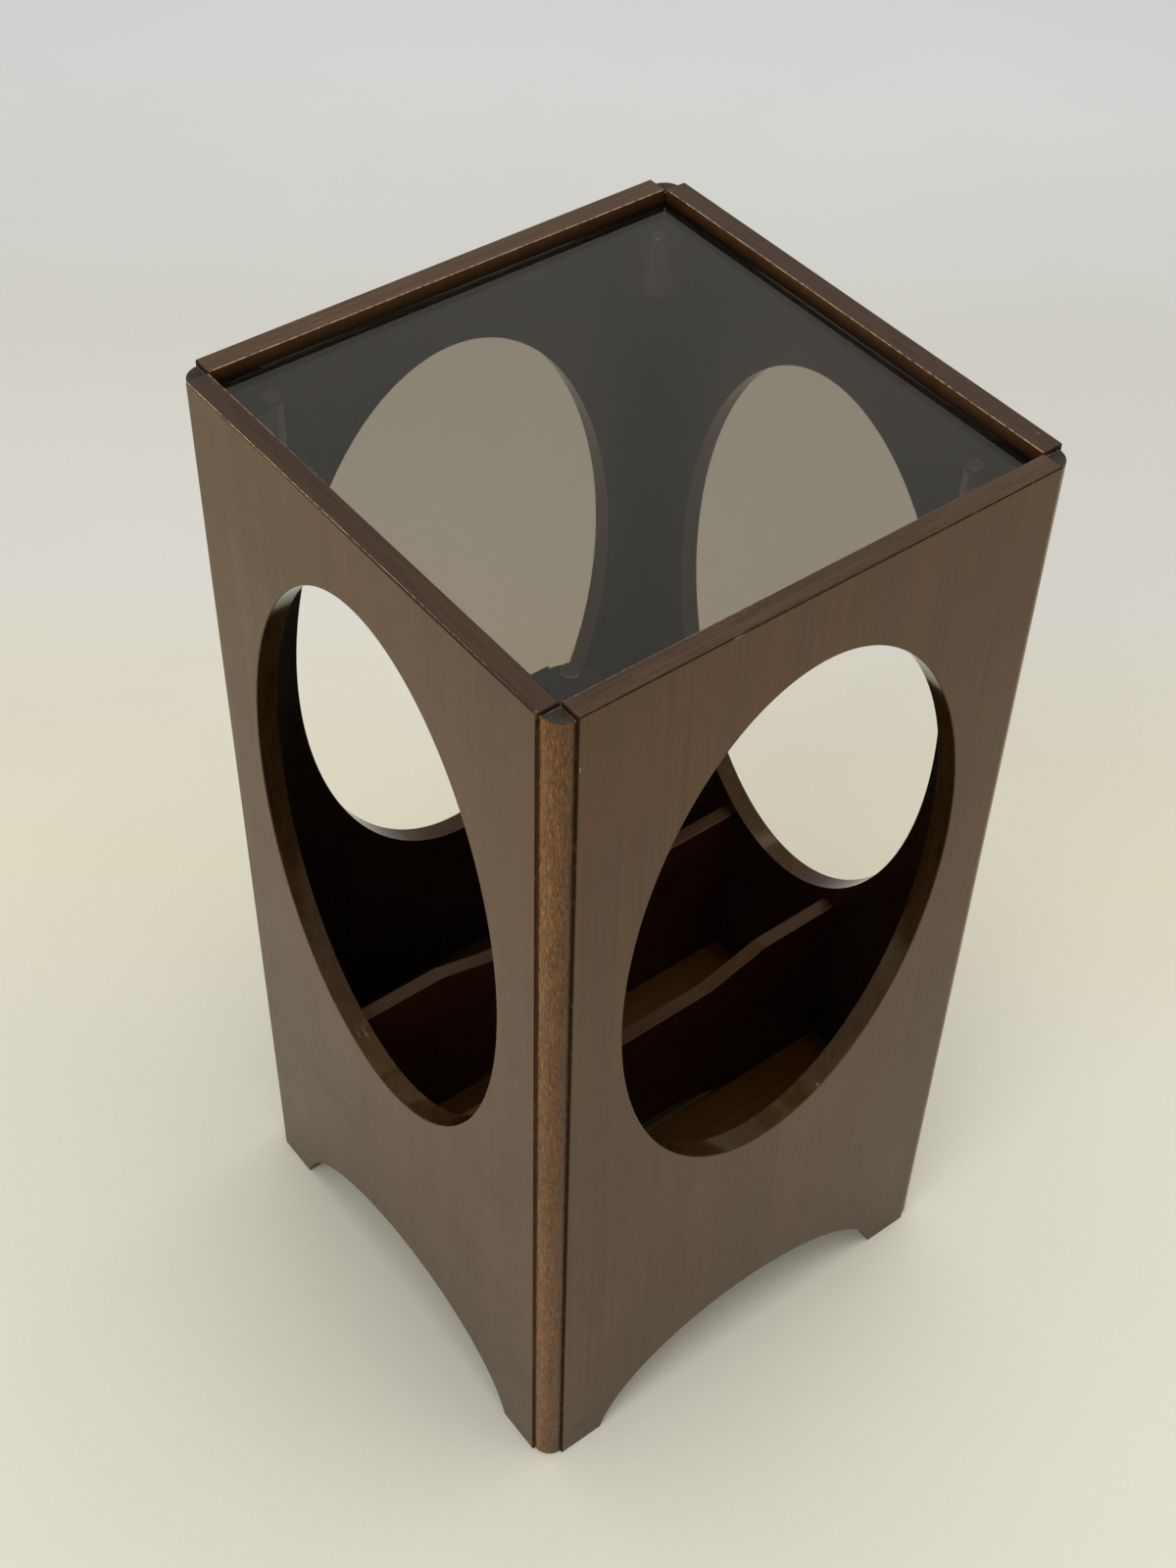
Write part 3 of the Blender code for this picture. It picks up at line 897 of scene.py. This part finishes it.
# How much lighter or darker each panel's edges are painted for the light that falls on its side, its rim,
# the painted light the rim gains towards its low end, and a post's painted light on its left side, with
# what it loses round to its front
EDGE_PAINTED_LIGHT = {"front": 1.45, "right": 1.1, "back": 2.0, "left": 1.05}
RIM_TONE = 0.68
RIM_LOW_PAINTED_LIGHT = 0.60
POST_PAINTED_LIGHT = 1.25
POST_PAINTED_LIGHT_LOSS = 0.75


def panel_wear(side):
    def wear_and_light(x, y, z):
        beyond = abs(x) - panel_half + PANEL_CORNER_RADIUS
        above = y - TABLE_HEIGHT + PANEL_CORNER_RADIUS
        ring = arris_ring(z, PANEL_THICKNESS, PANEL_ARRIS)
        in_corner = min(beyond, above) > 0
        # Painted shade on the top corner's arc, above the post
        if ring and in_corner and END_ARC[0] < math.atan2(above, beyond) < END_ARC[1]:
            return END_PAINTED_SHADE
        # Painted shade that deepens down the inner face towards the glass
        if ring == 0 and z < 0 and y > pane_level - WELD_DISTANCE:
            return WALL_PAINTED_SHADE * (TABLE_HEIGHT - y) / (TABLE_HEIGHT - pane_level)
        # Painted shade down the left end, and on both ends just below the top, beside the posts
        at_end = abs(x) > panel_half - END_SHARE * PANEL_ARRIS
        if at_end and (x < 0 or y > TABLE_HEIGHT - END_DROP):
            return SIDE_PAINTED_SHADE
        if not within_arris(ring):
            return 0.0
        # The top arrises: wear and grime, and painted highlights on the front and left inner arrises
        if y > TABLE_HEIGHT - PANEL_ARRIS:
            return TOP_WEAR_AND_HIGHLIGHT[side]["outer" if z > 0 else "inner"][int(x > 0)][ring - 1]
        # Painted shade on the right end's arris, beside the post
        if x > panel_half - PANEL_ARRIS:
            return SIDE_PAINTED_SHADE
        # Painted shade on the oval's inner arris
        if z < 0 and near_oval(x, y):
            return INNER_OVAL_PAINTED_SHADE
        if ring != MIDDLE_RING:
            return 0.0
        # A painted highlight along the oval's outer arris; wear along the foot's arris
        return OVAL_PAINTED_HIGHLIGHT if near_oval(x, y) else FOOT_WEAR

    return wear_and_light


# Painted light for each panel's edges, and for its rim, lighter towards the low end
def panel_painted_light(side):
    def tone(x, y, z):
        if not near_oval(x, y):
            return EDGE_PAINTED_LIGHT[side]
        low = max(0.0, (oval_centre - y) / oval_half_height)
        return RIM_TONE + RIM_LOW_PAINTED_LIGHT * low**2

    return tone


def tighten_ends(mesh):
    """Sharpens the inner arrises of a panel's ends, so that the panels meet in clean inside corners."""
    reach = PANEL_ARRIS + WELD_DISTANCE
    top = TABLE_HEIGHT - 2 * PANEL_CORNER_RADIUS + WELD_DISTANCE
    for vertex in mesh.vertices:
        x, y, z = vertex.co
        inset = panel_half - abs(x)
        depth = z + PANEL_THICKNESS / 2
        if max(inset, depth) < reach and y < top:
            vertex.co.x = math.copysign(panel_half - INNER_SHARE * inset, x)
            vertex.co.z = INNER_SHARE * depth - PANEL_THICKNESS / 2


def tighten_oval(mesh, oval):
    """Sharpens the oval's inner arris."""
    rim_points = KDTree(len(oval))
    for index, point in enumerate(oval):
        rim_points.insert((*point, 0), index)
    rim_points.balance()
    for vertex in mesh.vertices:
        x, y, z = vertex.co
        depth = z + PANEL_THICKNESS / 2
        if near_oval(x, y) and depth < PANEL_ARRIS + WELD_DISTANCE:
            edge = rim_points.find((x, y, 0))[0]
            vertex.co.xy = edge.xy + INNER_SHARE * (vertex.co.xy - edge.xy)
            vertex.co.z = INNER_SHARE * depth - PANEL_THICKNESS / 2


def make_panels():
    outlines = panel_outlines()
    centre = Vector((0, PANEL_THICKNESS / 2 - TABLE_WIDTH / 2, 0))
    housing_width = DIVIDER_THICKNESS + 2 * SEAT_GAP
    housing_height = DIVIDER_HEIGHT + 2 * SEAT_GAP
    housing_size = Vector((housing_width, housing_height, HOUSING_DEPTH + CUT_OVERRUN))
    housing_z = (HOUSING_DEPTH - CUT_OVERRUN) / 2 - PANEL_THICKNESS / 2
    for index, side in enumerate(SIDES):
        mesh = plate(side + "_board", outlines, PANEL_THICKNESS, PANEL_ARRIS)
        if side in ("left", "right"):
            housings = []
            for x in (-divider_y, divider_y):
                place = Vector((x, FLOOR_HEIGHT + housing_size.y / 2, housing_z))
                housings.append(box("housing", housing_size, place))
            mesh = carved(side + "_board", mesh, housings)
        tighten_ends(mesh)
        mesh = split(mesh, pane_level)
        write_grain(mesh, (0, 1, 2), tree_place(PANEL_TREE, index))
        write_wear_and_light(mesh, panel_wear(side))
        write_painted_light(mesh, panel_painted_light(side))
        tighten_oval(mesh, outlines[1])
        paint(mesh, PANEL_FINISHES, panel_face)
        matrix = quarter_turn(index) @ Matrix.Translation(centre) @ UPRIGHT
        piece(side + "_board", mesh, "case", side + "_panel", matrix)


def make_posts():
    radius = PANEL_THICKNESS - POST_RECESS
    steps = math.ceil(QUARTER_TURN / ARC_STEP)
    arc = ellipse(0, radius, radius, math.pi, math.pi + QUARTER_TURN, steps)
    left_side = [(-POST_APEX, POST_SEAT), (-radius, POST_SEAT)]
    front_side = [(POST_SEAT, -radius), (POST_SEAT, -POST_APEX)]
    outline = [(0, 0), *left_side, *arc[1:-1], *front_side]
    corner = -panel_half - SEAT_GAP
    height = TABLE_HEIGHT - POST_DROP
    place = Vector((corner, corner, height / 2))

    # Painted light: the post lighter on its left side and darker round to its front
    def tone(x, y, z):
        return POST_PAINTED_LIGHT - POST_PAINTED_LIGHT_LOSS * math.atan2(max(-y, 0.0), max(-x, 0.0)) / QUARTER_TURN

    def wear_and_light(x, y, z):
        # The top arris: painted highlights along its straight sides, darker along its round
        if within_arris(arris_ring(z, height, POST_ARRIS)):
            return POST_TOP_PAINTED_HIGHLIGHT if min(abs(x), abs(y)) < POST_ARRIS else POST_ROUND_WEAR
        # Painted shade on the post towards the grooves where it meets the boards
        if y > -SEAT_SHADE_REACH:
            return POST_SEAT_PAINTED_SHADE
        return -max(0.0, 1.0 + x / POST_SHADE_REACH)

    # The seats take the near-black lining, painted shade that darkens the grooves
    finishes = (post_wood, post_end, shaded_lining)
    rounded, end, seat = range(len(finishes))

    def face(centre, normal):
        if abs(normal.z) > FLAT:
            return end
        return seat if max(normal.x, normal.y) > SEAT_FACING else rounded

    for index, name in enumerate(CORNERS):
        mesh = plate(name + "_corner_post", [outline], height, POST_ARRIS)
        write_grain(mesh, (0, 2, 1), tree_place(POST_TREE, index))
        write_wear_and_light(mesh, wear_and_light)
        write_painted_light(mesh, tone)
        paint(mesh, finishes, face)
        matrix = quarter_turn(index) @ Matrix.Translation(place)
        piece(name + "_corner_post", mesh, "case", name + "_post", matrix)


def make_blocks():
    """Corner blocks under the glass, cut from a quarter-round moulding with quirks, and their bumpers."""
    shoulder = BLOCK_SIDE - BLOCK_QUIRK - BLOCK_NOSE_RADIUS
    steps = math.ceil(QUARTER_TURN / ARC_STEP)
    nose = ellipse(shoulder, BLOCK_NOSE_RADIUS, BLOCK_NOSE_RADIUS, 0, QUARTER_TURN, steps)
    outline = [(0, 0), (BLOCK_SIDE, 0), (BLOCK_SIDE, shoulder)]
    outline += [(shoulder + x, y) for x, y in nose]
    outline += [(shoulder, BLOCK_SIDE), (0, BLOCK_SIDE)]
    corner = SEAT_GAP - inner_half
    radius = BUMPER_DIAMETER / 2
    middle = corner + BLOCK_SIDE - BUMPER_EDGE_DISTANCE - radius
    crown = BUMPER_HEIGHT - BUMPER_SHOULDER
    brow = ellipse(BUMPER_SHOULDER, crown, crown, QUARTER_TURN, 0, BUMPER_STEPS)
    dome = [(radius - crown + x, z) for x, z in brow]
    profile = [(0, BUMPER_HEIGHT), *dome, (radius, 0), (0, 0)]
    for index, name in enumerate(CORNERS):
        turn = quarter_turn(index)
        mesh = plate(name + "_glass_block", [outline], BLOCK_HEIGHT, BLOCK_ARRIS)
        write_grain(mesh, (0, 2, 1), tree_place(BLOCK_TREE, index))
        write_wear_and_light(mesh, lambda x, y, z: BLOCK_WEAR * on_arris(z, BLOCK_HEIGHT, BLOCK_ARRIS))
        paint(mesh, (block_wood, block_end), lambda centre, normal: int(abs(normal.z) > FLAT))
        place = Vector((corner, corner, block_top - BLOCK_HEIGHT / 2))
        matrix = turn @ Matrix.Translation(place)
        piece(name + "_glass_block", mesh, "case", name + "_block", matrix)
        mesh = turned(name + "_glass_bumper", profile)
        mesh.materials.append(clear_plastic.material)
        matrix = turn @ Matrix.Translation((middle, middle, bumper_bottom))
        piece(name + "_glass_bumper", mesh, "case", name + "_bumper", matrix)


def make_glass():
    half = inner_half - GLASS_SIDE_GAP
    signs = ((-1, -1), (1, -1), (1, 1), (-1, 1))
    outline = rounded_outline([(half * x, half * y, GLASS_CORNER_RADIUS) for x, y in signs])
    mesh = plate("smoked_pane", [outline], GLASS_THICKNESS, GLASS_ARRIS)
    paint(mesh, (smoked_glass, smoked_glass_edge), lambda centre, normal: int(abs(normal.z) < FLAT))
    matrix = Matrix.Translation((0, 0, pane_level))
    piece("smoked_pane", mesh, "glass_pane", "glass_top", matrix)


def make_dividers():
    """Boards across the table with dipped tops and arched feet, their ends housed in the side panels."""
    half = inner_half + HOUSING_DEPTH - SEAT_GAP
    shoulder = inner_half - DIVIDER_SHOULDER
    dip = shoulder - DIVIDER_SLOPE_RUN
    low = DIVIDER_HEIGHT - DIVIDER_DIP
    arch_top = DIVIDER_ARCH_HALF - DIVIDER_ARCH_RUN
    outline = rounded_outline(
        [
            (-half, 0, 0),
            (-DIVIDER_ARCH_HALF, 0, 0),
            (-arch_top, DIVIDER_ARCH_RISE, DIVIDER_DIP_RADIUS),
            (arch_top, DIVIDER_ARCH_RISE, DIVIDER_DIP_RADIUS),
            (DIVIDER_ARCH_HALF, 0, 0),
            (half, 0, 0),
            (half, DIVIDER_HEIGHT, 0),
            (shoulder, DIVIDER_HEIGHT, DIVIDER_SHOULDER_RADIUS),
            (dip, low, DIVIDER_DIP_RADIUS),
            (-dip, low, DIVIDER_DIP_RADIUS),
            (-shoulder, DIVIDER_HEIGHT, DIVIDER_SHOULDER_RADIUS),
            (-half, DIVIDER_HEIGHT, 0),
        ]
    )
    for index, name in enumerate(("front", "back")):
        mesh = plate(name + "_bay_divider", [outline], DIVIDER_THICKNESS, DIVIDER_ARRIS)
        write_grain(mesh, (1, 0, 2), tree_place(DIVIDER_TREE, index))
        write_wear_and_light(mesh, lambda x, y, z: DIVIDER_WEAR * on_arris(z, DIVIDER_THICKNESS, DIVIDER_ARRIS))
        paint(mesh, (divider_wood, divider_edge), lambda centre, normal: int(abs(normal.z) < FLAT))
        y = (2 * index - 1) * divider_y
        matrix = Matrix.Translation((0, y, FLOOR_HEIGHT + SEAT_GAP)) @ UPRIGHT
        piece(name + "_bay_divider", mesh, "case", name + "_divider", matrix)


def screw_profile(gap):
    """Half section of a countersunk screw, point up, grown by a gap."""
    shank = SCREW_DIAMETER / 2 + gap
    head = SCREW_HEAD_DIAMETER / 2 + gap
    length = CLEAT_SIDE + SEAT_GAP + SCREW_BITE + gap
    neck = SCREW_HEAD_RIM + head - shank
    return [
        (0, length),
        (shank, length - SCREW_POINT),
        (shank, neck),
        (head, SCREW_HEAD_RIM),
        (head, 0),
        (0, 0),
    ]


def screw_places():
    """Name of each screw, and where it stands in its cleat."""
    cleat_y = SEAT_GAP + CLEAT_SIDE / 2 - inner_half
    screw_x = cleat_length / 2 - SCREW_END_DISTANCE
    for index, side in enumerate(SIDES):
        for number, x in enumerate((-screw_x, screw_x), start=1):
            place = Matrix.Translation((x, cleat_y, cleat_bottom))
            spin = Matrix.Rotation(SIDE_SPIN * index + SCREW_SPIN * number, 4, "Z")
            yield f"{side}_cleat_screw_{number}", quarter_turn(index) @ place @ spin


def make_floor():
    """Board that the records stand on, slotted under the dividers' arches, with holes for the screws."""
    half = inner_half - SEAT_GAP
    outlines = [[(-half, -half), (half, -half), (half, half), (-half, half)]]
    for y in (-divider_y, divider_y):
        near = y - FLOOR_SLOT_WIDTH / 2
        far = y + FLOOR_SLOT_WIDTH / 2
        length = DIVIDER_ARCH_HALF
        outlines.append([(-length, near), (length, near), (length, far), (-length, far)])
    mesh = plate("record_floor_board", outlines, FLOOR_THICKNESS, FLOOR_ARRIS)
    matrix = Matrix.Translation((0, 0, FLOOR_HEIGHT - FLOOR_THICKNESS / 2))
    holes = []
    for name, place in screw_places():
        hole = turned(name + "_hole", screw_profile(SEAT_GAP))
        hole.transform(matrix.inverted() @ place)
        holes.append(hole)
    mesh = carved("record_floor_board", mesh, holes)
    mesh.materials.append(floor_wood.material)
    piece("record_floor_board", mesh, "case", "record_floor", matrix)


def make_screws():
    """Countersunk screws with a cross recess in the head, driven up through the cleats."""
    for name, matrix in screw_places():
        slots = []
        for size in ((RECESS_LENGTH, RECESS_WIDTH), (RECESS_WIDTH, RECESS_LENGTH)):
            slots.append(box("recess", (*size, 2 * RECESS_DEPTH), Vector((0, 0, 0))))
        mesh = carved(name + "_crosshead", turned(name, screw_profile(0)), slots)
        mesh.materials.append(steel.material)
        piece(name + "_crosshead", mesh, "case", name, matrix)


def dress_solids():
    """Finishes for the solids that stay as they are, the cleats under the record floor."""
    for side in SIDES:
        finish = cleat_wood if side in ("front", "back") else cleat_wood_across
        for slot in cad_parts[side + "_cleat"].material_slots:
            slot.link = "OBJECT"
            slot.material = finish.material


def add_lamp(name, place, size, power):
    lamp = bpy.data.lights.new(name, "AREA")
    lamp.shape = "SQUARE"
    lamp.size = size
    lamp.energy = power
    lamp.color = LAMP_TINT
    obj = bpy.data.objects.new(name, lamp)
    obj.location = place
    aim = Vector((0, 0, TABLE_HEIGHT / 2)) - obj.location
    obj.rotation_euler = aim.to_track_quat("-Z", "Y").to_euler()
    bpy.context.scene.collection.objects.link(obj)


def make_studio():
    ground_mesh = bpy.data.meshes.new("studio_ground")
    sheet = bmesh.new()
    bmesh.ops.create_grid(sheet, x_segments=1, y_segments=1, size=GROUND_HALF)
    sheet.to_mesh(ground_mesh)
    sheet.free()
    ground_mesh.materials.append(ground_finish().material)
    ground = bpy.data.objects.new("studio_ground", ground_mesh)
    bpy.context.scene.collection.objects.link(ground)

    world = bpy.data.worlds.new("studio")
    world.use_nodes = True
    background = world.node_tree.nodes["Background"]
    background.inputs["Color"].default_value = SURROUND_TINT
    background.inputs["Strength"].default_value = SURROUND_STRENGTH
    bpy.context.scene.world = world

    for name, (place, size, power) in LAMPS.items():
        add_lamp(name, place, size, power)


def make_camera():
    lens = bpy.data.cameras.new("camera")
    lens.sensor_width = CAMERA_SENSOR
    lens.lens = CAMERA_LENS
    camera = bpy.data.objects.new("camera", lens)
    level = math.cos(CAMERA_ELEVATION)
    back_x = math.sin(CAMERA_AZIMUTH) * level
    back_y = -math.cos(CAMERA_AZIMUTH) * level
    back = Vector((back_x, back_y, math.sin(CAMERA_ELEVATION)))
    right = Vector((math.cos(CAMERA_AZIMUTH), math.sin(CAMERA_AZIMUTH), 0))
    up = back.cross(right)
    axis_x = math.cos(CAMERA_ROLL) * right + math.sin(CAMERA_ROLL) * up
    axis_y = math.cos(CAMERA_ROLL) * up - math.sin(CAMERA_ROLL) * right
    turn = Matrix((axis_x, axis_y, back)).transposed()
    camera.matrix_world = Matrix.Translation(CAMERA_PLACE) @ turn.to_4x4()
    bpy.context.scene.collection.objects.link(camera)
    bpy.context.scene.camera = camera


make_camera()
make_studio()
make_panels()
make_posts()
make_blocks()
make_glass()
make_dividers()
make_floor()
make_screws()
dress_solids()
bpy.context.scene.view_settings.view_transform = "Standard"
